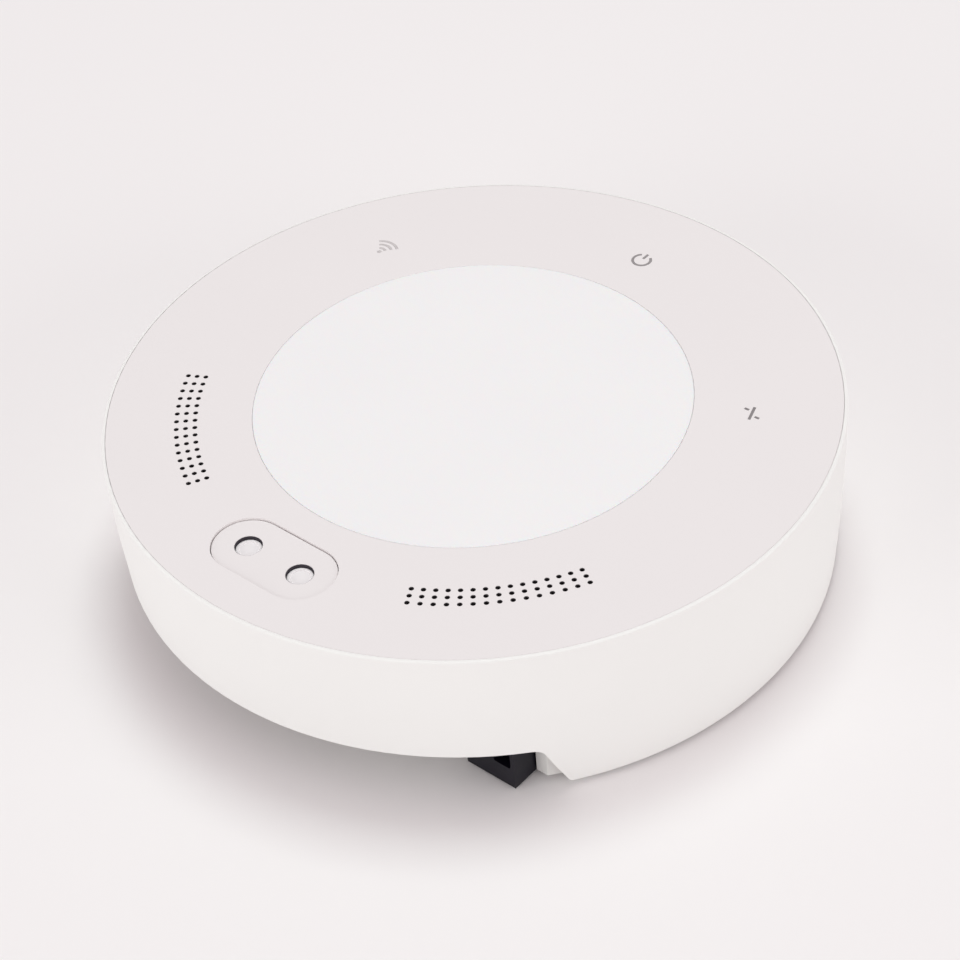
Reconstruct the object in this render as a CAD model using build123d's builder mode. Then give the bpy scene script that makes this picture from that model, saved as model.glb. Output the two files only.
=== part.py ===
from build123d import *
from math import cos, radians, sin, sqrt
import os

os.makedirs("parts", exist_ok=True)

# Garage door controller: a low round puck that sits on a ceiling, a wall or a shelf.
# Millimetres and degrees. +Z is up, -Y is the button side, and the feet stand on z = 0.

# Outer shell: the wall leans in a little towards its lower rim.
body_radius = 64.0
waist_lean = 0.35
base_lean = 1.3
rim_lift = 0.8
wall = 1.8
edge_round = 0.35
rim_round = 0.4
lip_width = 0.6
shelf_reach = 3.0
shelf_thickness = 1.2

# Cable notch in the lower edge of the wall, under the buttons.
notch_height = 9.2
notch_half_angle = 52.9
notch_lean = 2.4
notch_corner_round = 1.5
notch_tip_round = 1.0

# Top ring and the light disc that lies in it.
top_thickness = 2.0
seam = 0.05
soft_edge = 0.08
ring_width = 26.0
disc_thickness = 1.4
ledge_width = 2.5

# Sound outlets: two curved bands of small round holes, one each side of the buttons.
vent_hole_radius = 0.45
vent_inset = 12.9
vent_line_gap = 1.6
vent_lines = 3
vent_columns = 15
vent_angle = 45
vent_span = 33
mesh_thickness = 0.25
mesh_margin = 1.4

# Two push buttons, sunk in a bezel with round ends.
button_radius = 2.25
button_pitch = 11.46
button_inset = 14.2
button_gap = 0.1
button_drop = 0.7
button_dish = 0.25
button_edge = 0.2
button_flange_radius = 3.0
button_flange_thickness = 0.8
button_travel = 0.35
flange_gap = 0.1
bezel_radius = 6.15
bezel_seam = 0.15
bezel_drop = 0.35
bezel_depth = 2.6
bezel_rim = 1.2
bezel_edge = 0.15
well_edge = 0.1

# Three lit icons: each is a light guide that comes flush through the top ring.
icon_inset = 16.0
icon_angles = {"wifi": 150, "power": 90, "link": 30}
icon_stroke = 0.42
icon_gap = 0.04
icon_radius = 1.65
icon_break = 70
icon_bar_start_share = 0.25
icon_bar_end_share = 1.2
fan_radius = 3.3
fan_arcs = 3
fan_half_angle = 42
fan_dot_radius = 0.36
fan_drop = 1.5
link_half_length = 1.7
link_lean = 18
link_mark_offset = 1.35
link_mark_half = 0.45
pad_radius = 3.6
pad_thickness = 1.3
pipe_radius = 1.5
pipe_gap = 0.3

# Circuit board, held between the posts of the bottom cover and the bosses of the top ring.
board_gap = 1.9
board_thickness = 1.6
under_board_room = 12.3
over_board_room = 13.3
screw_radius = 1.5
screw_fit = 0.03
screw_hole_gap = 0.2
screw_bite = 5.8
screw_head_radius = 2.8
screw_head_height = 1.9
screw_head_round = 0.5
screw_slot_width = 0.8
screw_slot_depth = 0.9
screw_inset = 5.0
screw_angles = (60, 120, 200, 340)
boss_radius = 3.5
boss_hole_margin = 0.6
post_radius = 4.1
head_seat_depth = 3.4
head_gap = 0.35

# Bottom cover: floor, rim and the bay where the cables are connected.
floor_inset = 0.2
floor_thickness = 1.8
cover_gap = 0.25
rim_height = 2.6
rim_thickness = 1.4
bay_inset = 1.1
bay_wall = 1.5
ceiling_gap = 0.3
ceiling_thickness = 1.0
part_gap = 0.3
keyhole_spread = 60.0
keyhole_y = 4.0
keyhole_head_radius = 4.1
keyhole_neck_radius = 2.2
keyhole_slide = 8.0
keyhole_depth = 3.2
keyhole_wall = 1.2
label_length = 44.0
label_width = 22.0
label_y = 27.0
label_depth = 0.3
label_round = 2.0
foot_radius = 4.5
foot_recess = 0.6
foot_edge = 0.3
foot_inset = 8.0
foot_margin = 1.4
foot_back_angle = 30

# Screw terminal for the two wires of the door opener: the black block in the notch.
pole_pitch = 5.08
terminal_depth = 7.8
terminal_lift = 0.3
terminal_margin = 2.84
terminal_sunk = 1.2
terminal_edge = 0.4
nose_reach = 1.9
nose_gap = 0.5
cheek_setback = 3.2
clamp_screw_radius = 1.5
clamp_head_radius = 1.8
clamp_head_height = 1.2
clamp_head_sink = 0.15
clamp_travel = 2.0
clamp_slot_width = 0.6
clamp_slot_depth = 0.6
clamp_fit = 0.05
clamp_gap = 0.15
strip_thickness = 0.7
strip_width = 3.6
strip_inset = 0.9
pin_width = 1.0
pin_stand = 1.0
plate_thickness = 0.6
plate_depth = 3.4
plate_lift = 0.3
wire_gap = 2.8
entry_radius = 0.5
entry_wall = 0.6

# Power inlet: a jack for a round plug, opening into the bay.
jack_width = 9.0
jack_length = 14.4
jack_lift = 3.2
jack_stand = 4.0
jack_axis_rise = 4.5
jack_bore_radius = 3.15
jack_bore_depth = 10.5
jack_pin_radius = 1.0
jack_pin_length = 9.0
jack_mouth_edge = 0.7
jack_round = 1.2

# Electronics on the board.
switch_size = 6.0
switch_height = 3.5
switch_round = 0.4
plunger_radius = 1.7
plunger_gap = 0.1
plunger_sunk = 2.0
plunger_floor = 0.3
sounder_inset = 17.0
sounder_angle = 36
sounder_radius = 7.0
sounder_gap = 0.95
sounder_mouth_radius = 2.2
sounder_mouth_depth = 1.5
sounder_edge = 0.5
led_length = 3.5
led_width = 2.8
led_height = 1.0
led_dish_radius = 1.15
led_dish_depth = 0.3
warning_led_share = 0.665
warning_led_count = 8
baffle_inset = 0.9
baffle_thickness = 1.2
baffle_gap = 0.3
module_width = 13.2
module_length = 16.6
module_thickness = 0.8
module_margin = 3.9
module_y = 2.0
shield_width = 11.8
shield_length = 10.6
shield_height = 1.7
shield_round = 0.5
shield_offset = -2.2
relay_length = 19.0
relay_width = 12.5
relay_floor_gap = 0.5
relay_x = 24.0
relay_margin = 5.0
relay_edge = 0.6
processor_size = 10.0
processor_height = 1.4
processor_edge = 0.3
processor_x = 6.0
processor_y = 0.0
capacitor_radius = 4.0
capacitor_height = 7.8
capacitor_base = 8.4
capacitor_base_height = 1.0
capacitor_x = -20.0
capacitor_margin = 6.2
capacitor_pitch = 10.0
inductor_size = 7.0
inductor_height = 4.2
inductor_edge = 1.2
inductor_x = -16.0
inductor_margin = 4.0

# How far each cut runs past the face that it opens.
overrun = 1.0

# Levels, from the feet up.
floor_bottom = rim_lift + floor_inset
floor_top = floor_bottom + floor_thickness
head_seat = floor_bottom + head_seat_depth
board_bottom = floor_top + under_board_room
board_top = board_bottom + board_thickness
ring_bottom = board_top + over_board_room
body_height = ring_bottom + top_thickness
ceiling_top = board_bottom - ceiling_gap
bezel_top = body_height - bezel_drop
bezel_bottom = bezel_top - bezel_depth
button_top = bezel_top - button_drop
disc_bottom = body_height - disc_thickness
pad_bottom = ring_bottom - pad_thickness
shelf_bottom = ring_bottom - shelf_thickness

# Circles about the puck's axis.
base_radius = body_radius - base_lean
wall_inner_base = base_radius - wall
cover_radius = wall_inner_base - cover_gap
board_radius = wall_inner_base - board_gap
lip_inner = body_radius - lip_width
ring_outer = lip_inner - seam
shelf_inner = lip_inner - shelf_reach
disc_radius = body_radius - ring_width
ledge_inner = disc_radius - ledge_width
baffle_radius = ledge_inner - baffle_inset
button_reach = body_radius - button_inset
icon_circle = body_radius - icon_inset
vent_circle = body_radius - vent_inset
sounder_circle = body_radius - sounder_inset
screw_circle = board_radius - screw_inset
foot_circle = board_radius - foot_inset

# Front edge: the notch, the terminal beside its right end and the bay behind them. The
# terminal's body ends in line with the wall's inner face, and its nose reaches into the notch.
notch_base_half = base_radius * sin(radians(notch_half_angle))
notch_top_half = notch_base_half - notch_lean
notch_reach = base_radius * cos(radians(notch_half_angle)) - 2 * wall
bay_half_width = notch_top_half - bay_inset
terminal_width = 2 * pole_pitch
terminal_x = bay_half_width - terminal_margin - terminal_width / 2
terminal_face = sqrt(wall_inner_base**2 - (terminal_x + terminal_width / 2) ** 2)
terminal_back = terminal_face - terminal_depth
bay_back = terminal_back + terminal_sunk
bay_outer_back = bay_back - bay_wall
jack_face = bay_back + jack_stand
foot_front_y = foot_margin + foot_radius - bay_outer_back


def around(circle, angle):
    """A place on a circle about the puck's centre, by its angle from +X."""
    return (circle * cos(radians(angle)), circle * sin(radians(angle)))


screw_places = [around(screw_circle, angle) for angle in screw_angles]
button_places = [(side * button_pitch / 2, -button_reach) for side in (-1, 1)]
icon_places = {name: around(icon_circle, angle) for name, angle in icon_angles.items()}
foot_front = (sqrt(foot_circle**2 - foot_front_y**2), foot_front_y)
foot_back = around(foot_circle, foot_back_angle)
foot_places = [(side * x, y) for x, y in (foot_front, foot_back) for side in (-1, 1)]
pole_y = -(terminal_face + terminal_back) / 2
pole_places = [(terminal_x + side * pole_pitch / 2, pole_y) for side in (-1, 1)]
strip_back = -terminal_back - strip_inset
strip_front = -terminal_face + entry_wall
pin_places = [(x, strip_back) for x, y in pole_places]


def stroke(line, gap):
    """Turns a line into a stroke of the icons' width, widened by a gap on each side."""
    trace(line, line_width=icon_stroke + 2 * gap)


def wifi_strokes(gap):
    """Fan of arcs over a dot, drawn upright in the plane that is open."""
    for arc in range(1, fan_arcs + 1):
        with BuildLine() as fan_arc:
            CenterArc((0, -fan_drop), fan_radius * arc / fan_arcs, 90 - fan_half_angle, 2 * fan_half_angle)
        stroke(fan_arc.line, gap)
    with Locations((0, -fan_drop)):
        Circle(fan_dot_radius + gap)


def power_strokes(gap):
    """Broken ring with a short bar in its break."""
    with BuildLine() as ring:
        CenterArc((0, 0), icon_radius, 90 + icon_break / 2, 360 - icon_break)
    stroke(ring.line, gap)
    with BuildLine() as bar:
        Line((0, icon_radius * icon_bar_start_share), (0, icon_radius * icon_bar_end_share))
    stroke(bar.line, gap)


def link_strokes(gap):
    """Leaning bar between two short marks."""
    lean_x = link_half_length * sin(radians(link_lean))
    lean_y = link_half_length * cos(radians(link_lean))
    with BuildLine() as leaning_bar:
        Line((-lean_x, lean_y), (lean_x, -lean_y))
    stroke(leaning_bar.line, gap)
    for side in (-1, 1):
        with BuildLine() as mark:
            Line(
                (side * (link_mark_offset - link_mark_half), -side * link_mark_half),
                (side * (link_mark_offset + link_mark_half), -side * link_mark_half),
            )
        stroke(mark.line, gap)


icon_strokes = {"wifi": wifi_strokes, "power": power_strokes, "link": link_strokes}

# Outer shell: wall, lip round the top and the shelf that carries the top ring.
with BuildPart() as outer_shell:
    with BuildSketch(Plane.XZ) as shell_profile:
        with BuildLine():
            ThreePointArc(
                (base_radius, rim_lift),
                (body_radius - waist_lean, (rim_lift + body_height) / 2),
                (body_radius, body_height),
            )
            Polyline(
                (body_radius, body_height),
                (lip_inner, body_height),
                (lip_inner, ring_bottom),
                (shelf_inner, ring_bottom),
                (shelf_inner, shelf_bottom),
                (body_radius - wall, shelf_bottom),
                (wall_inner_base, rim_lift),
                (base_radius, rim_lift),
            )
        make_face()
    revolve(axis=Axis.Z)
    top_edges = outer_shell.edges().filter_by(GeomType.CIRCLE).group_by(Axis.Z)[-1]
    fillet(top_edges.sort_by(SortBy.RADIUS)[-1], edge_round)
    rim_edges = outer_shell.edges().filter_by(GeomType.CIRCLE).group_by(Axis.Z)[0]
    fillet(rim_edges.sort_by(SortBy.RADIUS)[-1], rim_round)
    with BuildSketch(Plane.XZ.offset(notch_reach)) as notch_profile:
        with BuildLine():
            Polyline(
                (-notch_base_half - 2 * notch_tip_round, rim_lift - overrun),
                (-notch_base_half - 2 * notch_tip_round, rim_lift),
                (-notch_base_half, rim_lift),
                (-notch_top_half, rim_lift + notch_height),
                (notch_top_half, rim_lift + notch_height),
                (notch_base_half, rim_lift),
                (notch_base_half + 2 * notch_tip_round, rim_lift),
                (notch_base_half + 2 * notch_tip_round, rim_lift - overrun),
                close=True,
            )
        make_face()
        notch_levels = notch_profile.vertices().group_by(Axis.Y)
        fillet(notch_levels[-1], notch_corner_round)
        rim_corners = notch_profile.vertices().group_by(Axis.Y)[1]
        fillet(rim_corners.sort_by(Axis.X)[1:-1], notch_tip_round)
    extrude(amount=body_radius - notch_reach + overrun, mode=Mode.SUBTRACT)
outer_shell.part.label = "outer_shell"
export_step(outer_shell.part, "parts/outer_shell.step")

# Top ring: flush cover plate with the sound outlets, the bezel's opening, the cut-out
# icons and a ledge for the light disc. Four bosses under it take the cover screws.
with BuildPart() as top_ring:
    with BuildSketch(Plane.XZ) as ring_profile:
        with BuildLine():
            Polyline(
                (disc_radius + seam, body_height),
                (ring_outer, body_height),
                (ring_outer, ring_bottom),
                (ledge_inner, ring_bottom),
                (ledge_inner, disc_bottom),
                (disc_radius + seam, disc_bottom),
                close=True,
            )
        make_face()
    revolve(axis=Axis.Z)
    ring_edges = top_ring.edges().filter_by(GeomType.CIRCLE).group_by(Axis.Z)[-1]
    chamfer(ring_edges, soft_edge)
    with BuildSketch(Plane.XY.offset(board_top)) as ring_bosses:
        with Locations(*screw_places):
            Circle(boss_radius)
    extrude(until=Until.NEXT)
    with BuildSketch(Plane.XY.offset(board_top - overrun)) as boss_holes:
        with Locations(*screw_places):
            Circle(screw_radius + screw_fit)
    extrude(amount=screw_bite + boss_hole_margin + overrun, mode=Mode.SUBTRACT)
    with BuildSketch(Plane.XY.offset(body_height)) as bezel_opening:
        with Locations((0, -button_reach)):
            SlotCenterToCenter(button_pitch, 2 * (bezel_radius + bezel_seam))
    extrude(amount=-top_thickness, mode=Mode.SUBTRACT)
    with BuildSketch(Plane.XY.offset(body_height)) as vent_holes:
        for line in range(vent_lines):
            for side in (-1, 1):
                with PolarLocations(
                    vent_circle - line * vent_line_gap,
                    vent_columns,
                    start_angle=-90 + side * vent_angle - vent_span / 2,
                    angular_range=vent_span,
                    endpoint=True,
                ):
                    Circle(vent_hole_radius)
    extrude(amount=-top_thickness, mode=Mode.SUBTRACT)
    for name, place in icon_places.items():
        with BuildSketch(Plane((*place, body_height))):
            icon_strokes[name](icon_gap)
        extrude(amount=-top_thickness, mode=Mode.SUBTRACT)
top_ring.part.label = "top_ring"
export_step(top_ring.part, "parts/top_ring.step")

# Light disc: the plain white centre, lit from below as the warning light.
with BuildPart() as light_disc:
    with BuildSketch(Plane.XY.offset(disc_bottom)):
        Circle(disc_radius)
    extrude(amount=disc_thickness)
    chamfer(light_disc.faces().sort_by(Axis.Z)[-1].edges(), soft_edge)
light_disc.part.label = "light_disc"
export_step(light_disc.part, "parts/light_disc.step")

# Button bezel: a sunken plate with two round wells, held by a rim under the top ring.
with BuildPart() as button_bezel:
    with BuildSketch(Plane.XY.offset(bezel_bottom)):
        with Locations((0, -button_reach)):
            SlotCenterToCenter(button_pitch, 2 * bezel_radius)
    extrude(amount=bezel_depth)
    with BuildSketch(Plane.XY.offset(bezel_bottom)):
        with Locations((0, -button_reach)):
            SlotCenterToCenter(button_pitch, 2 * (bezel_radius + bezel_rim))
    extrude(amount=ring_bottom - bezel_bottom)
    fillet(button_bezel.faces().sort_by(Axis.Z)[-1].edges(), bezel_edge)
    with BuildSketch(Plane.XY.offset(bezel_top)) as wells:
        with Locations(*button_places):
            Circle(button_radius + button_gap)
    extrude(amount=-bezel_depth, mode=Mode.SUBTRACT)
    flange_top = bezel_top - button_drop - button_flange_thickness
    with BuildSketch(Plane.XY.offset(bezel_bottom)) as flange_rooms:
        with Locations(*button_places):
            Circle(button_flange_radius + 2 * button_gap)
    extrude(amount=flange_top + flange_gap - bezel_bottom, mode=Mode.SUBTRACT)
    well_edges = button_bezel.faces().sort_by(Axis.Z)[-1].edges().filter_by(GeomType.CIRCLE)
    chamfer(well_edges.filter_by(lambda edge: edge.radius < button_flange_radius), well_edge)
button_bezel.part.label = "button_bezel"
export_step(button_bezel.part, "parts/button_bezel.step")

# Push buttons with dished tops, each with the switch plunger that it stands on.
flange_bottom = flange_top - button_flange_thickness
for name, place in zip(("left", "right"), button_places):
    with BuildPart() as button:
        with BuildSketch(Plane((*place, flange_bottom))):
            Circle(button_flange_radius)
        extrude(amount=button_flange_thickness)
        with BuildSketch(Plane((*place, flange_top))):
            Circle(button_radius)
        extrude(amount=button_top - flange_top)
        with BuildSketch(Plane((*place, button_top))):
            Circle(button_radius - 2 * button_edge)
        extrude(amount=-button_dish, taper=45, mode=Mode.SUBTRACT)
        fillet(button.faces().filter_by(Plane.XY).sort_by(Axis.Z)[-1].outer_wire().edges(), button_edge)
    button.part.label = f"button_{name}"
    export_step(button.part, f"parts/button_{name}.step")

    switch_top = board_top + switch_height
    with BuildPart() as switch:
        with BuildSketch(Plane((*place, board_top))):
            RectangleRounded(switch_size, switch_size, switch_round)
        extrude(amount=switch_height)
        with BuildSketch(Plane((*place, switch_top))):
            Circle(plunger_radius + plunger_gap)
        extrude(amount=-plunger_sunk - button_travel - plunger_floor, mode=Mode.SUBTRACT)
    switch.part.label = f"switch_{name}"
    export_step(switch.part, f"parts/switch_{name}.step")

    with BuildPart() as plunger:
        with BuildSketch(Plane((*place, switch_top - plunger_sunk))):
            Circle(plunger_radius)
        extrude(amount=flange_bottom - switch_top + plunger_sunk)
    plunger.part.label = f"switch_plunger_{name}"
    export_step(plunger.part, f"parts/switch_plunger_{name}.step")

# Light guides: a pipe from the board's lamp to a pad, and the icon that shows on top.
for name, place in icon_places.items():
    with BuildPart() as guide:
        with BuildSketch(Plane((*place, pad_bottom))):
            Circle(pad_radius)
        extrude(amount=pad_thickness)
        with BuildSketch(Plane((*place, board_top + led_height + pipe_gap))):
            Circle(pipe_radius)
        extrude(until=Until.NEXT)
        with BuildSketch(Plane((*place, ring_bottom))):
            icon_strokes[name](0)
        extrude(amount=top_thickness)
    guide.part.label = f"icon_{name}"
    export_step(guide.part, f"parts/icon_{name}.step")

# Dust meshes under the two sound outlets.
vent_width = (vent_lines - 1) * vent_line_gap
mesh_circle = vent_circle - vent_width / 2
mesh_width = vent_width + 2 * (vent_hole_radius + mesh_margin)
for name, side in (("left", -1), ("right", 1)):
    mesh_arc = CenterArc((0, 0), mesh_circle, -90 + side * vent_angle - vent_span / 2, vent_span)
    with BuildPart() as mesh:
        with BuildSketch(Plane.XY.offset(ring_bottom)):
            SlotArc(mesh_arc, mesh_width)
        extrude(amount=-mesh_thickness)
    mesh.part.label = f"vent_mesh_{name}"
    export_step(mesh.part, f"parts/vent_mesh_{name}.step")

# Bottom cover: floor and low rim, with the connection bay raised in its front edge.
with BuildPart() as bottom_cover:
    with BuildSketch(Plane.XY.offset(floor_bottom)):
        Circle(cover_radius)
    extrude(amount=floor_thickness)
    with BuildSketch(Plane.XY.offset(floor_top)):
        Circle(cover_radius)
        Circle(cover_radius - rim_thickness, mode=Mode.SUBTRACT)
    extrude(amount=rim_height)
    with BuildSketch(Plane.XY.offset(floor_bottom)) as bay_block:
        Circle(cover_radius)
        with Locations((0, -bay_outer_back)):
            Rectangle(
                2 * (bay_half_width + bay_wall),
                cover_radius,
                align=(Align.CENTER, Align.MAX),
                mode=Mode.INTERSECT,
            )
    extrude(amount=ceiling_top - floor_bottom)
    with BuildSketch(Plane.XY.offset(floor_bottom)) as bay_space:
        with Locations((0, -bay_back)):
            Rectangle(2 * bay_half_width, cover_radius, align=(Align.CENTER, Align.MAX))
    extrude(amount=ceiling_top - ceiling_thickness - floor_bottom, mode=Mode.SUBTRACT)
    cheek_left = terminal_x + terminal_width / 2 + part_gap
    cheek_front = terminal_face - cheek_setback
    with BuildSketch(Plane.XY.offset(floor_bottom)) as terminal_cheek:
        Circle(cover_radius)
        with Locations((cheek_left, -cheek_front)):
            Rectangle(
                bay_half_width + bay_wall - cheek_left,
                cheek_front - bay_outer_back,
                align=(Align.MIN, Align.MIN),
                mode=Mode.INTERSECT,
            )
    extrude(amount=ceiling_top - floor_bottom)
    with BuildSketch(Plane.XY.offset(floor_top)) as posts:
        with Locations(*screw_places):
            Circle(post_radius)
    extrude(amount=board_bottom - floor_top)
    with BuildSketch(Plane.XY.offset(floor_bottom)) as screw_ways:
        with Locations(*screw_places):
            Circle(screw_radius + screw_hole_gap)
    extrude(amount=board_bottom - floor_bottom, mode=Mode.SUBTRACT)
    with BuildSketch(Plane.XY.offset(floor_bottom)) as head_wells:
        with Locations(*screw_places):
            Circle(screw_head_radius + head_gap)
    extrude(amount=head_seat - floor_bottom, mode=Mode.SUBTRACT)
    terminal_room_front = terminal_face + part_gap
    with BuildSketch(Plane.XY.offset(floor_bottom)) as terminal_room:
        with Locations((terminal_x, -bay_outer_back)):
            Rectangle(
                terminal_width + 2 * part_gap,
                terminal_room_front - bay_outer_back,
                align=(Align.CENTER, Align.MAX),
            )
    extrude(amount=board_bottom - floor_bottom, mode=Mode.SUBTRACT)
    with BuildSketch(Plane.XY.offset(floor_bottom)) as jack_room:
        with Locations((0, -jack_face - part_gap)):
            Rectangle(
                jack_width + 2 * part_gap,
                jack_length + 2 * part_gap,
                align=(Align.CENTER, Align.MIN),
            )
    extrude(amount=board_bottom - floor_bottom, mode=Mode.SUBTRACT)
    keyhole_middle = keyhole_y + keyhole_slide / 2
    keyhole_places = [(side * keyhole_spread / 2, keyhole_middle) for side in (-1, 1)]
    with BuildSketch(Plane.XY.offset(floor_top)) as keyhole_cups:
        with Locations(*keyhole_places):
            SlotCenterToCenter(keyhole_slide, 2 * (keyhole_head_radius + keyhole_wall), rotation=90)
    extrude(amount=keyhole_depth + keyhole_wall)
    with BuildSketch(Plane.XY.offset(floor_top)) as head_rooms:
        with Locations(*keyhole_places):
            SlotCenterToCenter(keyhole_slide, 2 * keyhole_head_radius, rotation=90)
    extrude(amount=keyhole_depth, mode=Mode.SUBTRACT)
    with BuildSketch(Plane.XY.offset(floor_bottom)) as keyholes:
        with Locations(*keyhole_places):
            SlotCenterToCenter(keyhole_slide, 2 * keyhole_neck_radius, rotation=90)
        with Locations(*[(x, keyhole_y) for x, y in keyhole_places]):
            Circle(keyhole_head_radius)
    extrude(amount=floor_thickness, mode=Mode.SUBTRACT)
    with BuildSketch(Plane.XY.offset(floor_bottom)) as label_place:
        with Locations((0, label_y)):
            RectangleRounded(label_length, label_width, label_round)
    extrude(amount=label_depth, mode=Mode.SUBTRACT)
    with BuildSketch(Plane.XY.offset(floor_bottom)) as foot_wells:
        with Locations(*foot_places):
            Circle(foot_radius)
    extrude(amount=foot_recess, mode=Mode.SUBTRACT)
bottom_cover.part.label = "bottom_cover"
export_step(bottom_cover.part, "parts/bottom_cover.step")

# Four soft feet in the floor's wells.
with BuildPart() as rubber_feet:
    with BuildSketch(Plane.XY):
        with Locations(*foot_places):
            Circle(foot_radius)
    extrude(amount=floor_bottom + foot_recess)
    fillet(rubber_feet.edges().group_by(Axis.Z)[0], foot_edge)
rubber_feet.part.label = "rubber_feet"
export_step(rubber_feet.part, "parts/rubber_feet.step")

# Cover screws: they clamp the bottom cover, the board and the top ring together.
with BuildPart() as cover_screws:
    with BuildSketch(Plane.XY.offset(head_seat)):
        with Locations(*screw_places):
            Circle(screw_radius)
    extrude(amount=board_top + screw_bite - head_seat)
    with BuildSketch(Plane.XY.offset(head_seat - screw_head_height)):
        with Locations(*screw_places):
            Circle(screw_head_radius)
    extrude(amount=screw_head_height)
    fillet(cover_screws.faces().group_by(Axis.Z)[0].edges(), screw_head_round)
    with BuildSketch(Plane.XY.offset(head_seat - screw_head_height)):
        with Locations(*screw_places):
            Rectangle(screw_head_radius, screw_slot_width)
            Rectangle(screw_slot_width, screw_head_radius)
    extrude(amount=screw_slot_depth, mode=Mode.SUBTRACT)
cover_screws.part.label = "cover_screws"
export_step(cover_screws.part, "parts/cover_screws.step")

# Circuit board.
with BuildPart() as circuit_board:
    with BuildSketch(Plane.XY.offset(board_bottom)):
        Circle(board_radius)
        with Locations(*screw_places):
            Circle(screw_radius + screw_hole_gap, mode=Mode.SUBTRACT)
        with Locations(*pin_places):
            Rectangle(
                pin_width + 2 * clamp_fit,
                strip_thickness + clamp_fit,
                align=(Align.CENTER, Align.MAX),
                mode=Mode.SUBTRACT,
            )
    extrude(amount=board_thickness)
circuit_board.part.label = "circuit_board"
export_step(circuit_board.part, "parts/circuit_board.step")

# Light baffle: a white wall that keeps the warning light under the disc.
with BuildPart() as light_baffle:
    with BuildSketch(Plane.XY.offset(board_top)):
        Circle(baffle_radius)
        Circle(baffle_radius - baffle_thickness, mode=Mode.SUBTRACT)
    extrude(amount=disc_bottom - baffle_gap - board_top)
light_baffle.part.label = "light_baffle"
export_step(light_baffle.part, "parts/light_baffle.step")

# Small square lamps on the board, each with a round dish for its phosphor.
warning_circle = baffle_radius * warning_led_share
warning_places = [
    around(warning_circle, 360 * lamp / warning_led_count) for lamp in range(warning_led_count)
]
for name, places in (("warning", warning_places), ("status", list(icon_places.values()))):
    with BuildPart() as lamps:
        with BuildSketch(Plane.XY.offset(board_top)):
            with Locations(*places):
                Rectangle(led_length, led_width)
        extrude(amount=led_height)
        with BuildSketch(Plane.XY.offset(board_top + led_height)):
            with Locations(*places):
                Circle(led_dish_radius)
        extrude(amount=-led_dish_depth, mode=Mode.SUBTRACT)
    lamps.part.label = f"{name}_leds"
    export_step(lamps.part, f"parts/{name}_leds.step")

# Two sounders, one behind each sound outlet.
sounder_height = over_board_room - mesh_thickness - sounder_gap
for name, side in (("left", -1), ("right", 1)):
    sounder_place = around(sounder_circle, -90 + side * sounder_angle)
    with BuildPart() as sounder:
        with BuildSketch(Plane((*sounder_place, board_top))):
            Circle(sounder_radius)
        extrude(amount=sounder_height)
        chamfer(sounder.faces().sort_by(Axis.Z)[-1].edges(), sounder_edge)
        with BuildSketch(Plane((*sounder_place, board_top + sounder_height))):
            Circle(sounder_mouth_radius)
        extrude(amount=-sounder_mouth_depth, mode=Mode.SUBTRACT)
    sounder.part.label = f"sounder_{name}"
    export_step(sounder.part, f"parts/sounder_{name}.step")

# Wireless module and its shield can, on top of the board.
module_x = module_margin + module_width / 2 - board_radius
with BuildPart() as wireless_module:
    with BuildSketch(Plane((module_x, module_y, board_top))):
        Rectangle(module_width, module_length)
    extrude(amount=module_thickness)
wireless_module.part.label = "wireless_module"
export_step(wireless_module.part, "parts/wireless_module.step")

with BuildPart() as module_shield:
    with BuildSketch(Plane((module_x, module_y + shield_offset, board_top + module_thickness))):
        RectangleRounded(shield_width, shield_length, shield_round)
    extrude(amount=shield_height)
    fillet(module_shield.faces().sort_by(Axis.Z)[-1].edges(), shield_round / 2)
module_shield.part.label = "module_shield"
export_step(module_shield.part, "parts/module_shield.step")

# Relay that closes the opener's contact, under the board.
relay_height = under_board_room - relay_floor_gap
relay_y = relay_margin + relay_width / 2 - bay_outer_back
with BuildPart() as relay:
    with BuildSketch(Plane((relay_x, relay_y, board_bottom - relay_height))):
        Rectangle(relay_length, relay_width)
    extrude(amount=relay_height)
    chamfer(relay.edges().filter_by(Axis.Z), relay_edge)
    chamfer(relay.faces().sort_by(Axis.Z)[0].edges(), relay_edge)
relay.part.label = "relay"
export_step(relay.part, "parts/relay.step")

# Processor, under the board.
with BuildPart() as processor:
    with BuildSketch(Plane((processor_x, processor_y, board_bottom - processor_height))):
        Rectangle(processor_size, processor_size)
    extrude(amount=processor_height)
    chamfer(processor.edges().filter_by(Axis.Z), processor_edge)
    chamfer(processor.faces().sort_by(Axis.Z)[0].edges(), processor_edge)
processor.part.label = "processor"
export_step(processor.part, "parts/processor.step")

# Power supply parts under the board: two capacitors on square bases and an inductor.
capacitor_y = capacitor_margin + capacitor_base / 2 - bay_outer_back
with BuildPart() as capacitors:
    capacitor_places = [(capacitor_x + side * capacitor_pitch / 2, capacitor_y) for side in (-1, 1)]
    with BuildSketch(Plane.XY.offset(board_bottom)):
        with Locations(*capacitor_places):
            Rectangle(capacitor_base, capacitor_base)
    extrude(amount=-capacitor_base_height)
    with BuildSketch(Plane.XY.offset(board_bottom - capacitor_base_height)):
        with Locations(*capacitor_places):
            Circle(capacitor_radius)
    extrude(amount=capacitor_base_height - capacitor_height)
    can_ends = capacitors.faces().group_by(Axis.Z)[0]
    fillet(can_ends.edges(), relay_edge)
capacitors.part.label = "capacitors"
export_step(capacitors.part, "parts/capacitors.step")

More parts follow.
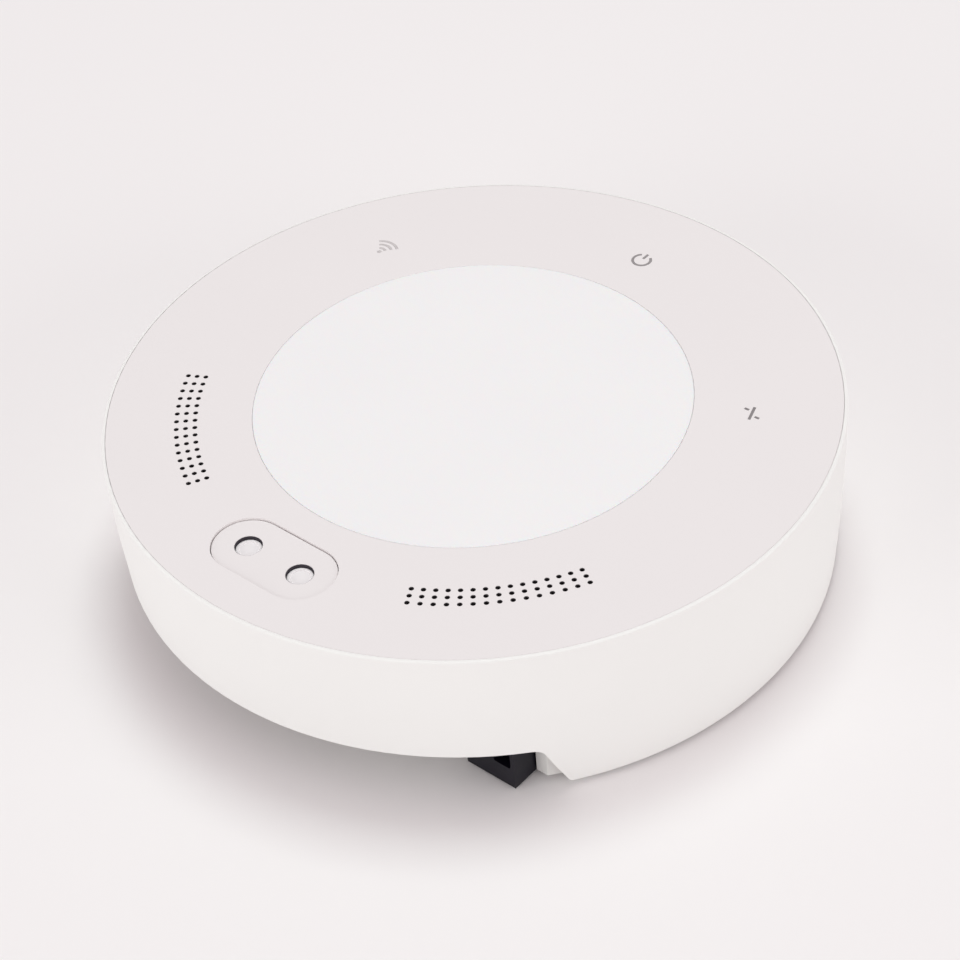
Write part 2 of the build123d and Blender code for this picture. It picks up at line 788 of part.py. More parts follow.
inductor_y = capacitor_y + capacitor_base / 2 + inductor_margin + inductor_size / 2
with BuildPart() as inductor:
    with BuildSketch(Plane((inductor_x, inductor_y, board_bottom - inductor_height))):
        Rectangle(inductor_size, inductor_size)
    extrude(amount=inductor_height)
    chamfer(inductor.edges().filter_by(Axis.Z), inductor_edge)
inductor.part.label = "inductor"
export_step(inductor.part, "parts/inductor.step")

# Power jack: block with a round collar, a bore for the plug and the pin in its middle.
jack_axis = jack_lift + jack_axis_rise
with BuildPart() as power_jack:
    with BuildSketch(Plane((0, -jack_face, jack_lift))):
        Rectangle(jack_width, jack_length, align=(Align.CENTER, Align.MIN))
    extrude(amount=board_bottom - jack_lift)
    lower_edges = power_jack.edges().filter_by(Axis.Y).group_by(Axis.Z)[0]
    fillet(lower_edges, jack_round)
    with BuildSketch(Plane.XZ.offset(jack_face)) as plug_bore:
        with Locations((0, jack_axis)):
            Circle(jack_bore_radius)
    extrude(amount=-jack_bore_depth, mode=Mode.SUBTRACT)
    front_arcs = power_jack.edges().filter_by(GeomType.CIRCLE).group_by(Axis.Y)[0]
    chamfer(front_arcs.sort_by(SortBy.RADIUS)[-1], jack_mouth_edge)
power_jack.part.label = "power_jack"
export_step(power_jack.part, "parts/power_jack.step")

with BuildPart() as jack_pin:
    with BuildSketch(Plane.XZ.offset(jack_face - jack_bore_depth)):
        with Locations((0, jack_axis)):
            Circle(jack_pin_radius)
    extrude(amount=jack_pin_length)
    fillet(jack_pin.edges().group_by(Axis.Y)[0], jack_pin_radius / 2)
jack_pin.part.label = "jack_pin"
export_step(jack_pin.part, "parts/jack_pin.step")

# Screw terminal, from its lower face up: screw head, threaded arm of the contact strip,
# pressure plate, wire, and the upper arm whose pin goes through the board.
head_bottom = terminal_lift + clamp_head_sink
head_top = head_bottom + clamp_head_height
arm_bottom = head_top + clamp_travel + clamp_gap
arm_top = arm_bottom + strip_thickness
plate_bottom = arm_top + plate_lift
plate_top = plate_bottom + plate_thickness
upper_arm_bottom = plate_top + wire_gap
upper_arm_top = upper_arm_bottom + strip_thickness
room_width = strip_width + 2 * clamp_fit

with BuildPart() as terminal_block:
    with BuildSketch(Plane((terminal_x, -terminal_back, terminal_lift))):
        Rectangle(terminal_width, terminal_depth, align=(Align.CENTER, Align.MAX))
    extrude(amount=board_bottom - terminal_lift)
    with BuildSketch(Plane((terminal_x, -terminal_face, terminal_lift))):
        Rectangle(terminal_width, nose_reach, align=(Align.CENTER, Align.MAX))
    extrude(amount=rim_lift + notch_height - nose_gap - terminal_lift)
    chamfer(terminal_block.faces().sort_by(Axis.Z)[0].edges(), terminal_edge)
    with BuildSketch(Plane.XY.offset(terminal_lift)) as head_bores:
        with Locations(*pole_places):
            Circle(clamp_head_radius + clamp_gap)
    extrude(amount=arm_bottom - terminal_lift, mode=Mode.SUBTRACT)
    with BuildSketch(Plane.XY.offset(arm_bottom)) as clamp_rooms:
        with Locations(*pin_places):
            Rectangle(room_width, strip_back - strip_front, align=(Align.CENTER, Align.MAX))
    extrude(amount=upper_arm_top - arm_bottom, mode=Mode.SUBTRACT)
    with BuildSketch(Plane.XY.offset(upper_arm_top)) as pin_rooms:
        with Locations(*pin_places):
            Rectangle(pin_width, strip_thickness, align=(Align.CENTER, Align.MAX))
    extrude(amount=board_bottom - upper_arm_top, mode=Mode.SUBTRACT)
    with BuildSketch(Plane.XZ.offset(terminal_face + nose_reach)) as wire_entries:
        with Locations(*[(x, (plate_bottom + upper_arm_bottom) / 2) for x, y in pole_places]):
            RectangleRounded(strip_width, upper_arm_bottom - plate_bottom, entry_radius)
    extrude(amount=-entry_wall - nose_reach, mode=Mode.SUBTRACT)
terminal_block.part.label = "terminal_block"
export_step(terminal_block.part, "parts/terminal_block.step")

# Contact strips: one bent strip for each pole, with its threaded hole and its pin.
with BuildPart() as terminal_contacts:
    for x, y in pole_places:
        with BuildSketch(Plane.YZ.offset(x)) as strip_side:
            with BuildLine():
                Polyline(
                    (strip_front, arm_bottom),
                    (strip_back, arm_bottom),
                    (strip_back, upper_arm_top),
                    (strip_front, upper_arm_top),
                    (strip_front, upper_arm_bottom),
                    (strip_back - strip_thickness, upper_arm_bottom),
                    (strip_back - strip_thickness, arm_top),
                    (strip_front, arm_top),
                    close=True,
                )
            make_face()
        extrude(amount=strip_width / 2, both=True)
    with BuildSketch(Plane.XY.offset(upper_arm_top)) as solder_pins:
        with Locations(*pin_places):
            Rectangle(pin_width, strip_thickness, align=(Align.CENTER, Align.MAX))
    extrude(amount=board_top + pin_stand - upper_arm_top)
    with BuildSketch(Plane.XY.offset(arm_bottom)) as threaded_holes:
        with Locations(*pole_places):
            Circle(clamp_screw_radius + clamp_fit)
    extrude(amount=strip_thickness, mode=Mode.SUBTRACT)
terminal_contacts.part.label = "terminal_contacts"
export_step(terminal_contacts.part, "parts/terminal_contacts.step")

# Clamp screws and the pressure plates that ride on their tips.
for name, place in zip(("left", "right"), pole_places):
    with BuildPart() as clamp_screw:
        with BuildSketch(Plane((*place, head_bottom))):
            Circle(clamp_head_radius)
        extrude(amount=clamp_head_height)
        with BuildSketch(Plane((*place, head_top))):
            Circle(clamp_screw_radius)
        extrude(amount=plate_bottom - clamp_fit - head_top)
        with BuildSketch(Plane((*place, head_bottom))):
            Rectangle(2 * clamp_head_radius, clamp_slot_width)
        extrude(amount=clamp_slot_depth, mode=Mode.SUBTRACT)
    clamp_screw.part.label = f"clamp_screw_{name}"
    export_step(clamp_screw.part, f"parts/clamp_screw_{name}.step")

    with BuildPart() as pressure_plate:
        with BuildSketch(Plane((*place, plate_bottom))):
            Rectangle(strip_width - 2 * clamp_gap, plate_depth)
        extrude(amount=plate_thickness)
    pressure_plate.part.label = f"pressure_plate_{name}"
    export_step(pressure_plate.part, f"parts/pressure_plate_{name}.step")
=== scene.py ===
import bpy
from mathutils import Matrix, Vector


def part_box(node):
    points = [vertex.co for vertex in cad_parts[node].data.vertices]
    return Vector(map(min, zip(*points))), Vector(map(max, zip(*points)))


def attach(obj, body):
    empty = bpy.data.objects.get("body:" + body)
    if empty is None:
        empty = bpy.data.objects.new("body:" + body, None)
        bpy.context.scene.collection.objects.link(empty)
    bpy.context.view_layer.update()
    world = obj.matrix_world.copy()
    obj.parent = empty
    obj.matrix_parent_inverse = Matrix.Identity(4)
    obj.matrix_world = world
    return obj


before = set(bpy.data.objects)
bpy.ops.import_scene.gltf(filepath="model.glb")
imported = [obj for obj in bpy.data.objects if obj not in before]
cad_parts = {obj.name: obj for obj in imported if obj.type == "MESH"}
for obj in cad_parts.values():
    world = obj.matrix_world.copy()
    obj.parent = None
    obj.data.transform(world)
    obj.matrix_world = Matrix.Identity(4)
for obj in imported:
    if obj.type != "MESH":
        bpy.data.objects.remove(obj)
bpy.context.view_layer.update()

import random
from math import cos, pi, radians, sin

import bmesh
import bpy
from mathutils import Matrix, Vector

# Circuit board: woven glass and epoxy under a green solder mask. The copper is etched, and
# the board is routed round. It is clamped between the cover's posts and the ring's bosses.
MM = 0.001


def linear(code):
    """An sRGB hex colour as the linear values that a shader socket takes."""
    parts = [int(code[start:start + 2], 16) / 255 for start in (1, 3, 5)]
    return [
        *(part / 12.92 if part <= 0.04045 else ((part + 0.055) / 1.055) ** 2.4 for part in parts),
        1,
    ]


def add(material, kind, settings):
    """Adds a shader node. Each setting is a socket, by name or number, or else a property."""
    tree = material.node_tree
    node = tree.nodes.new(f"ShaderNode{kind}")
    for key, value in settings.items():
        if isinstance(key, str) and key not in node.inputs:
            setattr(node, key, value)
        elif isinstance(value, bpy.types.NodeSocket):
            tree.links.new(value, node.inputs[key])
        else:
            node.inputs[key].default_value = value
    return node


def feed(material, node, outputs):
    """Links outputs to the sockets of a node that the material has already."""
    for socket, output in outputs.items():
        material.node_tree.links.new(output, node.inputs[socket])


def begin(name, settings):
    """A material, its Principled shader with these settings, and its pieces' own coordinates."""
    material = bpy.data.materials.new(name)
    material.use_nodes = True
    shader = material.node_tree.nodes["Principled BSDF"]
    for key, value in settings.items():
        shader.inputs[key].default_value = value
    return material, shader, add(material, "TexCoord", {}).outputs["Object"]


def uneven(material, shader, place, patch, tones, gloss, grain, depth):
    """Colour and gloss vary over patches. A grain roughens the surface. Sizes in millimetres."""
    patches = add(material, "TexNoise", {"Vector": place, "Scale": 1 / (patch * MM), "Detail": 4})
    colour = add(material, "Mix", {
        "data_type": "RGBA", 0: patches.outputs["Fac"], 6: linear(tones[0]), 7: linear(tones[1]),
    })
    roughness = add(material, "MapRange", {
        "Value": patches.outputs["Fac"], "To Min": gloss[0], "To Max": gloss[1],
    })
    pits = add(material, "TexNoise", {"Vector": place, "Scale": 1 / (grain * MM), "Detail": 2})
    bump = add(material, "Bump", {
        "Height": pits.outputs["Fac"], "Strength": 0.5, "Distance": depth * MM,
    })
    feed(material, shader, {
        "Base Color": colour.outputs[2], "Roughness": roughness.outputs[0],
        "Normal": bump.outputs["Normal"],
    })
    return colour, bump


def finish(name, settings, **look):
    """A finished material, whose look is what uneven makes of it."""
    material, shader, place = begin(name, settings)
    uneven(material, shader, place, **look)
    return material


def paint(material, *nodes):
    """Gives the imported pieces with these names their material."""
    for node in nodes:
        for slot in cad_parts[node].material_slots:
            slot.material = material


# Solder mask on laminate: glossy, with the copper areas a little lighter and raised under it.
TRACK_PITCH, COPPER_RISE = 2.4, 0.03
board_mask, shader, place = begin("solder_mask_green", {
    "IOR": 1.5, "Roughness": 0.32, "Coat Weight": 0.3, "Coat Roughness": 0.1,
})
copper = add(board_mask, "TexVoronoi", {
    "Vector": place, "Scale": 1 / (TRACK_PITCH * MM), "distance": "MANHATTAN", "feature": "F1",
})
pour = add(board_mask, "MapRange", {
    "Value": copper.outputs["Distance"], "From Min": 0.42, "From Max": 0.5,
})
green = add(board_mask, "Mix", {
    "data_type": "RGBA", 0: pour.outputs[0], 6: linear("#1C6A3A"), 7: linear("#114A28"),
})
raised = add(board_mask, "Bump", {
    "Height": pour.outputs[0], "Strength": 0.6, "Distance": COPPER_RISE * MM, "invert": True,
})
feed(board_mask, shader, {"Base Color": green.outputs[2], "Normal": raised.outputs["Normal"]})
paint(board_mask, "circuit_board")

# Resistors and ceramic capacitors: tiny blocks with tinned ends, soldered on both faces of
# the board by reflow. They lie in rows near the chips that they serve.
BOARD_BOTTOM, BOARD_TOP = (corner[2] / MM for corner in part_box("circuit_board"))
CHIP = Vector((1.6, 0.8, 0.45))
CHIP_END = 0.3
COLUMN_PITCH, ROW_PITCH = 2.7, 2.3
CREASE = 35
ABOVE, BELOW = 1, -1
# The place of each group's first chip, its columns and rows, and the board's face.
CHIP_GROUPS = [
    (6, 9, 5, 4, BELOW), (-14, 14, 4, 4, BELOW), (20, 3, 3, 5, BELOW), (-4, -14, 3, 3, BELOW),
    (47, -2, 3, 5, ABOVE), (-46, -16, 3, 3, ABOVE), (0, -4, 5, 4, ABOVE), (-14, 44, 4, 3, ABOVE),
]


def block(shape, size, centre, turn=0):
    """A rectangular block in a bmesh, in millimetres, turned about +Z by degrees."""
    matrix = Matrix.Translation(centre) @ Matrix.Rotation(radians(turn), 4, "Z")
    bmesh.ops.create_cube(shape, size=1, matrix=matrix @ Matrix.Diagonal((*size, 1)))


def piece(name, shape, material):
    """Turns a bmesh in millimetres into a finished piece of the housing."""
    bmesh.ops.recalc_face_normals(shape, faces=shape.faces)
    bmesh.ops.scale(shape, vec=(MM, MM, MM), verts=shape.verts)
    mesh = bpy.data.meshes.new(name)
    shape.to_mesh(mesh)
    shape.free()
    mesh.shade_smooth()
    mesh.set_sharp_from_angle(angle=radians(CREASE))
    mesh.materials.append(material)
    thing = bpy.data.objects.new(name, mesh)
    bpy.context.scene.collection.objects.link(thing)
    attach(thing, "housing")


# Tinned metal: bright solder with soft waves from its own freezing.
tin = finish(
    "reflowed_tin", {"Metallic": 1.0},
    patch=1.2, tones=("#C9C8C2", "#B2B1AC"), gloss=(0.22, 0.4), grain=0.3, depth=0.02,
)
# Fired ceramic and resistor glaze: near black, with a soft sheen.
glaze = finish(
    "fired_ceramic", {"IOR": 1.6},
    patch=1.5, tones=("#1B1A1C", "#2A2624"), gloss=(0.35, 0.5), grain=0.2, depth=0.01,
)
random.seed(7)
bodies, ends = bmesh.new(), bmesh.new()
for first_x, first_y, columns, rows, face in CHIP_GROUPS:
    level = BOARD_TOP + CHIP.z / 2 if face == ABOVE else BOARD_BOTTOM - CHIP.z / 2
    for column in range(columns):
        for row in range(rows):
            turn = random.choice((0, 0, 90))
            spin = Matrix.Rotation(radians(turn), 3, "Z")
            centre = Vector((first_x + COLUMN_PITCH * column, first_y + ROW_PITCH * row, level))
            block(bodies, (CHIP.x - 2 * CHIP_END, CHIP.y, CHIP.z), centre, turn)
            for side in (-1, 1):
                shift = spin @ Vector((side * (CHIP.x - CHIP_END) / 2, 0, 0))
                block(ends, (CHIP_END, CHIP.y, CHIP.z), centre + shift, turn)
piece("chip_resistors", bodies, glaze)
piece("chip_resistor_ends", ends, tin)

# Wireless module: a small board of its own in black mask, with a printed aerial on the part
# that its shield can leaves free. It is soldered flat to the main board.
ANTENNA_LINE, ANTENNA_TURNS, FOIL = 0.45, 7, 0.04
SIDE_MARGIN, FOOT_MARGIN, HEAD_MARGIN = 1.2, 0.9, 0.7
PAD, PADS, PAD_PITCH, FIRST_PAD = (0.9, 0.8, FOIL), 9, 1.27, 1.2


def span(node):
    """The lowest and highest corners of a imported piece, in millimetres."""
    return [Vector(corner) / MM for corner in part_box(node)]


black_mask = finish(
    "solder_mask_black", {"IOR": 1.5, "Coat Weight": 0.3, "Coat Roughness": 0.12},
    patch=3, tones=("#15161A", "#1E2024"), gloss=(0.28, 0.4), grain=0.35, depth=0.015,
)
paint(black_mask, "wireless_module")
gilt = finish(
    "gold_flash", {"Metallic": 1.0},
    patch=2, tones=("#D6B36A", "#C49F58"), gloss=(0.2, 0.32), grain=0.3, depth=0.01,
)
module_low, module_high = span("wireless_module")
shield_low, shield_high = span("module_shield")
aerial_left, aerial_right = module_low.x + SIDE_MARGIN, module_high.x - SIDE_MARGIN
aerial_low, aerial_high = shield_high.y + FOOT_MARGIN, module_high.y - HEAD_MARGIN
aerial_step = (aerial_right - aerial_left) / ANTENNA_TURNS
foil_level = module_high.z + FOIL / 2
aerial = bmesh.new()
for turn in range(ANTENNA_TURNS + 1):
    line_x = aerial_left + turn * aerial_step
    block(
        aerial, (ANTENNA_LINE, aerial_high - aerial_low, FOIL),
        (line_x, (aerial_low + aerial_high) / 2, foil_level),
    )
    if turn < ANTENNA_TURNS:
        end_y = aerial_high if turn % 2 else aerial_low
        block(
            aerial, (aerial_step, ANTENNA_LINE, FOIL),
            (line_x + aerial_step / 2, end_y, foil_level),
        )
for side, edge_x in ((-1, module_low.x), (1, module_high.x)):
    for pad in range(PADS):
        pad_y = module_low.y + FIRST_PAD + PAD_PITCH * pad
        block(aerial, PAD, (edge_x - side * PAD[0] / 2, pad_y, foil_level))
piece("module_aerial", aerial, gilt)

# Shield can: 0.2 mm tinned steel sheet, folded into a lid with rounded corners and soldered
# over the module's radio. The rolling of the sheet shows as fine lines.
ROLLING = (1, 30, 30)
CAN_HOLE, HOLE_SHEET, FIRST_HOLE, HOLE_PITCH = 0.45, 0.03, (2.2, 2.6), (2.45, 2.7)


def disc(shape, radius, height, base, segments, top=None):
    """An upright disc or cone in a bmesh, in millimetres, standing on its base point."""
    matrix = Matrix.Translation(Vector(base) + Vector((0, 0, height / 2)))
    bmesh.ops.create_cone(
        shape, cap_ends=True, segments=segments, radius1=radius,
        radius2=radius if top is None else top, depth=height, matrix=matrix,
    )


tinplate, shader, place = begin("rolled_tinplate", {"Metallic": 1.0})
rolled = add(tinplate, "Mapping", {"Vector": place, "Scale": ROLLING})
uneven(
    tinplate, shader, rolled.outputs[0],
    patch=6, tones=("#C6C6C2", "#B5B6B3"), gloss=(0.24, 0.36), grain=4, depth=0.01,
)
paint(tinplate, "module_shield")
# Painted shade: near-black discs on the lid stand for the small holes that let hot air out.
hole_shade = finish(
    "painted_hole_shade", {"IOR": 1.3},
    patch=2, tones=("#101010", "#181818"), gloss=(0.7, 0.9), grain=0.3, depth=0.01,
)
can_hole_discs = bmesh.new()
for column in range(4):
    for row in range(3):
        disc(can_hole_discs, CAN_HOLE, HOLE_SHEET, (
            shield_low.x + FIRST_HOLE[0] + HOLE_PITCH[0] * column,
            shield_low.y + FIRST_HOLE[1] + HOLE_PITCH[1] * row, shield_high.z,
        ), 24)
piece("shield_hole_shade", can_hole_discs, hole_shade)

# Processor: a flat square package of moulded epoxy, soldered under the board by 64 tinned
# legs. The mould leaves a matt face and one round mark at its first leg.
LEGS_A_SIDE, LEG_PITCH = 16, 0.5
# The size of each leg's foot and shoulder, how far out it stands, and how far under the board.
LEG_PARTS = [((0.25, 0.95, 0.15), 0.55, 0.1), ((0.25, 0.2, 0.7), 0.1, 0.4)]
epoxy = finish(
    "moulded_epoxy", {"IOR": 1.5},
    patch=4, tones=("#1A1A1B", "#242324"), gloss=(0.55, 0.7), grain=0.15, depth=0.02,
)
paint(epoxy, "processor")
chip_low, chip_high = span("processor")
chip_centre = (chip_low + chip_high) / 2
chip_half = (chip_high.x - chip_low.x) / 2
legs = bmesh.new()
for quarter in range(4):
    turn = 90 * quarter
    spin = Matrix.Rotation(radians(turn), 3, "Z")
    for leg in range(LEGS_A_SIDE):
        leg_along = (leg - (LEGS_A_SIDE - 1) / 2) * LEG_PITCH
        for size, out, drop in LEG_PARTS:
            shift = spin @ Vector((leg_along, chip_half + out, 0))
            level = Vector((0, 0, BOARD_BOTTOM - drop))
            block(legs, size, chip_centre.xy.to_3d() + shift + level, turn)
piece("processor_legs", legs, tin)

# Relay: a sealed box of blue-black plastic under the board, with its pins soldered above.
# Its case is moulded, so it has rounded corners and a satin face.
relay_case = finish(
    "moulded_relay_case", {"IOR": 1.5},
    patch=8, tones=("#1D2638", "#242E42"), gloss=(0.38, 0.5), grain=0.25, depth=0.02,
)
paint(relay_case, "relay")

# Capacitors: drawn aluminium cans on black bases, and beside them the supply's inductor, a
# ferrite block. All are soldered under the board by reflow.
CAN_FOOT = 1.0
can, shader, place = begin("drawn_aluminium_can", {"Metallic": 1.0})
bare, _ = uneven(
    can, shader, place,
    patch=5, tones=("#C4C5C6", "#B4B6B8"), gloss=(0.25, 0.38), grain=0.5, depth=0.01,
)
height = add(can, "SeparateXYZ", {"Vector": place})
foot = add(can, "Math", {
    "operation": "GREATER_THAN", 0: height.outputs["Z"], 1: (BOARD_BOTTOM - CAN_FOOT) * MM,
})
two_tone = add(can, "Mix", {
    "data_type": "RGBA", 0: foot.outputs[0], 6: bare.outputs[2], 7: linear("#1A1A1A"),
})
metal = add(can, "Math", {"operation": "SUBTRACT", 0: 1.0, 1: foot.outputs[0]})
feed(can, shader, {"Base Color": two_tone.outputs[2], "Metallic": metal.outputs[0]})
paint(can, "capacitors")
ferrite = finish(
    "sintered_ferrite", {"IOR": 1.6},
    patch=2.5, tones=("#2B2B2C", "#38383A"), gloss=(0.55, 0.75), grain=0.2, depth=0.03,
)
paint(ferrite, "inductor")

# Switches under the buttons: black bodies with a punched steel cover, a plunger that the
# button stands on, and four bent legs each.
COVER_SHEET, COVER_INSET, PLUNGER_HOLE = 0.2, 0.15, 1.85
SWITCH_LEG, LEG_ROW = (0.9, 0.7, 0.2), 2.0
switch_body = finish(
    "moulded_black_plastic", {"IOR": 1.5},
    patch=5, tones=("#19191B", "#222224"), gloss=(0.4, 0.52), grain=0.2, depth=0.02,
)
plunger_plastic = finish(
    "moulded_grey_plastic", {"IOR": 1.5},
    patch=4, tones=("#4A4A4C", "#545456"), gloss=(0.4, 0.5), grain=0.2, depth=0.02,
)
zinc_sheet = finish(
    "punched_steel_sheet", {"Metallic": 1.0},
    patch=3, tones=("#B9BABA", "#A8AAAB"), gloss=(0.3, 0.42), grain=0.4, depth=0.01,
)
paint(switch_body, "switch_left", "switch_right")
paint(plunger_plastic, "switch_plunger_left", "switch_plunger_right")
for name in ("left", "right"):
    low, high = span(f"switch_{name}")
    middle = (low + high) / 2
    half = (high.x - low.x) / 2 - COVER_INSET
    cover = bmesh.new()
    # The plunger's round hole is extruded flat, and its outer copy pushed out to a square.
    rim = bmesh.ops.create_circle(
        cover, segments=48, radius=PLUNGER_HOLE,
        matrix=Matrix.Translation((middle.x, middle.y, high.z + COVER_SHEET)),
    )["verts"]
    rim_edges = list({edge for vert in rim for edge in vert.link_edges})
    outer = bmesh.ops.extrude_edge_only(cover, edges=rim_edges)["geom"]
    for vert in (item for item in outer if isinstance(item, bmesh.types.BMVert)):
        away = vert.co.xy - middle.xy
        stretch = half / max(abs(away.x), abs(away.y))
        vert.co.x, vert.co.y = middle.x + away.x * stretch, middle.y + away.y * stretch
    bmesh.ops.recalc_face_normals(cover, faces=cover.faces)
    bmesh.ops.solidify(cover, geom=cover.faces[:], thickness=COVER_SHEET)
    drop = high.z + COVER_SHEET - max(vert.co.z for vert in cover.verts)
    bmesh.ops.translate(cover, vec=(0, 0, drop), verts=cover.verts)
    piece(f"switch_cover_{name}", cover, zinc_sheet)
    switch_legs = bmesh.new()
    for side in (-1, 1):
        for row in (-1, 1):
            block(switch_legs, SWITCH_LEG, (
                middle.x + side * (high.x - low.x + SWITCH_LEG[0]) / 2,
                middle.y + row * LEG_ROW, BOARD_TOP + SWITCH_LEG[2] / 2,
            ))
    piece(f"switch_legs_{name}", switch_legs, tin)

# Sounders: two round black cases, moulded in the same plastic as the switches. Each stands
# on the board under a sound outlet, with its mouth upwards.
paint(switch_body, "sounder_left", "sounder_right")

# Lamps: white ceramic packages whose round dish is filled with yellow phosphor. Eight light
# the warning disc, and one stands under each icon's light guide.
WARNING_LAMPS, LAMP_LENGTH, ICON_ANGLES = 8, 3.5, (30, 90, 150)
FILL_RADIUS, FILL_DEPTH, FILL_DROP = 1.13, 0.2, 0.29
package = finish(
    "lamp_package", {"IOR": 1.5},
    patch=2, tones=("#EFEEEA", "#E4E2DC"), gloss=(0.4, 0.55), grain=0.2, depth=0.01,
)
phosphor = finish(
    "silicone_phosphor", {"IOR": 1.41, "Coat Weight": 0.4},
    patch=1, tones=("#E9CF5A", "#DCC04C"), gloss=(0.25, 0.4), grain=0.2, depth=0.01,
)
paint(package, "warning_leds", "status_leds")
fill_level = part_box("status_leds")[1][2] / MM - FILL_DROP
warning_circle = span("warning_leds")[1].x - LAMP_LENGTH / 2
icon_low, icon_high = span("icon_power")
status_circle = (icon_low.y + icon_high.y) / 2
lamp_places = [(warning_circle, 360 / WARNING_LAMPS * lamp) for lamp in range(WARNING_LAMPS)]
lamp_places += [(status_circle, angle) for angle in ICON_ANGLES]
fill = bmesh.new()
for circle, angle in lamp_places:
    base = circle * cos(radians(angle)), circle * sin(radians(angle)), fill_level
    disc(fill, FILL_RADIUS, FILL_DEPTH, base, 32)
piece("lamp_phosphor", fill, phosphor)

# Light baffle: a moulded white wall that keeps the warning light under the disc. It stands
# on the board and reflects nearly all the light that meets it.
baffle_plastic = finish(
    "moulded_white_polycarbonate", {"IOR": 1.58},
    patch=12, tones=("#F0EFEC", "#E9E8E5"), gloss=(0.5, 0.6), grain=0.3, depth=0.01,
)
paint(baffle_plastic, "light_baffle")

# Power jack: a black moulded housing under the board with a nickel-plated pin, and a spring
# leaf of the same brass that presses on the plug's side.
BORE, LEAF_WIDTH, LEAF_SHEET = 3.15, 2.0, 0.2
# The leaf's line: how far into the jack, and how far below the bore's top.
LEAF_LINE = [(2.0, 0.1), (4.0, 0.35), (6.0, 0.75), (7.5, 0.7), (9.0, 0.3)]
jack_plastic = finish(
    "moulded_jack_nylon", {"IOR": 1.53},
    patch=4, tones=("#17171A", "#202024"), gloss=(0.36, 0.48), grain=0.2, depth=0.02,
)
nickel = finish(
    "nickel_plated_brass", {"Metallic": 1.0},
    patch=2, tones=("#C8C3B6", "#B9B4A8"), gloss=(0.16, 0.3), grain=0.3, depth=0.01,
)
paint(jack_plastic, "power_jack")
paint(nickel, "jack_pin")
jack_low, jack_high = span("power_jack")
pin_low, pin_high = span("jack_pin")
bore_top = (pin_low.z + pin_high.z) / 2 + BORE
leaf = bmesh.new()
leaf_verts = [
    leaf.verts.new((side * LEAF_WIDTH / 2, jack_low.y + along, bore_top - below))
    for along, below in LEAF_LINE for side in (-1, 1)
]
for first in range(0, len(leaf_verts) - 2, 2):
    left, right, next_left, next_right = leaf_verts[first:first + 4]
    leaf.faces.new([left, right, next_right, next_left])
# These faces have no normals yet, so solidify doubles the leaf but leaves it with no thickness.
bmesh.ops.solidify(leaf, geom=leaf.faces[:], thickness=LEAF_SHEET)
piece("jack_spring", leaf, nickel)

# Solder joints: bright cones round the pins that come through the board from the terminal,
# the jack and the relay, made in the solder wave.
STRIP_HALF, STRIP_INSET = 1.8, 0.35
RELAY_INSET, RELAY_COMMON = (2.2, 2.0), 6.0
JACK_PINS = [(0, 1.0), (0, 7.0), (3.2, 4.0)]
JOINT_FOOT, JOINT_HEAD, JOINT_HEIGHT = 1.25, 0.62, 0.6
PIN_RADIUS, PIN_HEIGHT, PIN_ROUND, PIN_EDGE = 0.45, 0.95, 0.12, 40


def soften(shape, edges, width, segments):
    """Rounds these edges of a bmesh."""
    bmesh.ops.bevel(
        shape, geom=edges, offset=width, affect="EDGES", segments=segments, profile=0.5,
        material=-1,
    )


contact_low, contact_high = span("terminal_contacts")
relay_low, relay_high = span("relay")
strip_y = contact_high.y - STRIP_INSET
strip_places = [(contact_low.x + STRIP_HALF, strip_y), (contact_high.x - STRIP_HALF, strip_y)]
pin_places = [
    (pin_x, pin_y)
    for pin_x in (relay_low.x + RELAY_INSET[0], relay_high.x - RELAY_INSET[0])
    for pin_y in (relay_low.y + RELAY_INSET[1], relay_high.y - RELAY_INSET[1])
]
pin_places += [(relay_high.x - RELAY_COMMON, (relay_low.y + relay_high.y) / 2)]
pin_places += [(pin_x, jack_high.y - back) for pin_x, back in JACK_PINS]
joints = bmesh.new()
for joint_x, joint_y in strip_places + pin_places:
    disc(joints, JOINT_FOOT, JOINT_HEIGHT, (joint_x, joint_y, BOARD_TOP), 32, top=JOINT_HEAD)
piece("solder_joints", joints, tin)
# The terminal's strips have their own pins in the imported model, so these are the others.
pin_tips = bmesh.new()
for pin_x, pin_y in pin_places:
    disc(pin_tips, PIN_RADIUS, PIN_HEIGHT, (pin_x, pin_y, BOARD_TOP), 24)
sharp = [
    edge for edge in pin_tips.edges
    if edge.is_manifold and edge.calc_face_angle() > radians(PIN_EDGE)
]
soften(pin_tips, sharp, PIN_ROUND, 2)
piece("pin_tips", pin_tips, nickel)

# Screw terminal: a black moulded block with tinned brass strips. Each pole's zinc-plated
# screw is turned from below and lifts a plate that clamps the wire.
terminal_plastic = finish(
    "moulded_black_polyamide", {"IOR": 1.53, "Specular IOR Level": 0.2},
    patch=3, tones=("#0D0B15", "#12101B"), gloss=(0.34, 0.46), grain=0.18, depth=0.02,
)
zinc = finish(
    "zinc_plated_steel", {"Metallic": 1.0},
    patch=1.5, tones=("#B9BCC0", "#A4A7AC"), gloss=(0.24, 0.4), grain=0.2, depth=0.01,
)
paint(terminal_plastic, "terminal_block")
paint(tin, "terminal_contacts")
paint(
    zinc, "clamp_screw_left", "clamp_screw_right", "pressure_plate_left", "pressure_plate_right",
)

# Top ring: pale grey plastic, moulded with both bands of sound holes. It is the darker of the
# outer faces. Its spark-eroded grain is drawn a few times coarser than real, so that it shows.
GRAIN = 0.32
ring_plastic = finish(
    "spark_eroded_grey_abs", {"IOR": 1.5, "Specular IOR Level": 0.35},
    patch=30, tones=("#ECE7E7", "#EAE5E5"), gloss=(0.56, 0.62), grain=GRAIN, depth=0.012,
)
paint(ring_plastic, "top_ring")
